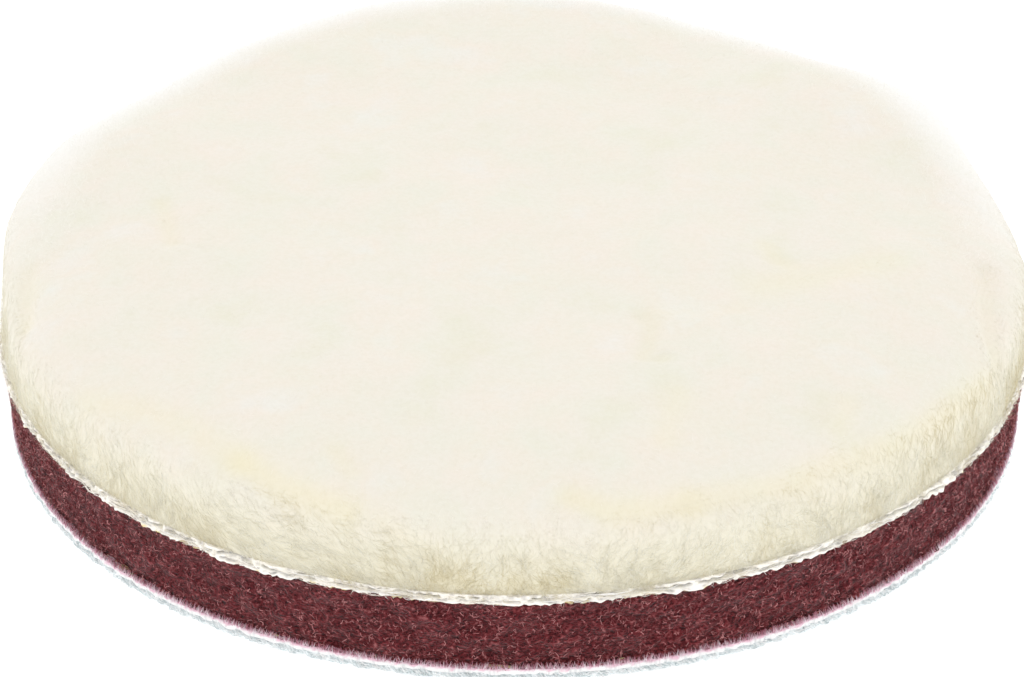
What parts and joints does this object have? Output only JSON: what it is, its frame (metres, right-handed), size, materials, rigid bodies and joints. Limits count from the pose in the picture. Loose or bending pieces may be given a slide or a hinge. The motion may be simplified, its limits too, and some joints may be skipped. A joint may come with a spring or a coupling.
{
  "type": "polishing pad",
  "caption": "Round wool polishing pad lying wool side up: a thick cream wool pile on a woven backing, bonded over a soft maroon interlayer to a loop fabric face.",
  "frame": {"origin": "centre of the flat loop face that grips the polisher's hook plate, the underside of the pad", "axes": "+Z along the pad's own axis, from the loop face to the wool; +X and +Y are any two directions across the round pad"},
  "size_m": [0.1524, 0.1524, 0.033],
  "materials": {
    "loop_fabric": "brushed nylon loops, matt",
    "loop_ground": "knitted ground, matt",
    "glue": "yellowish laminating glue, satin",
    "maroon_foam": "soft open foam with a curly fibrous cut side, matt",
    "back_coat": "latex binder, satin",
    "woven_ground": "plain woven cloth with a frayed cut edge",
    "cream_wool": "fluffy sheared wool, matt with a soft sheen"
  },
  "bodies": {
    "backing": {"loop_pile": "loop_fabric", "loop_ground_cloth": "loop_ground", "lower_adhesive_film": "glue", "foam_interlayer": "maroon_foam"},
    "wool_face": {"upper_adhesive_film": "glue", "pile_back_coat": "back_coat", "pile_ground_cloth": "woven_ground", "wool_pile": "cream_wool"}
  },
  "joints": [
    {"name": "foam_compress", "type": "slide", "parent": "backing", "child": "wool_face", "axis": [0, 0, 1], "range_m": [-0.005, 0], "stiffness_N_per_m": 16000, "deforming": ["foam_interlayer"]}
  ]
}
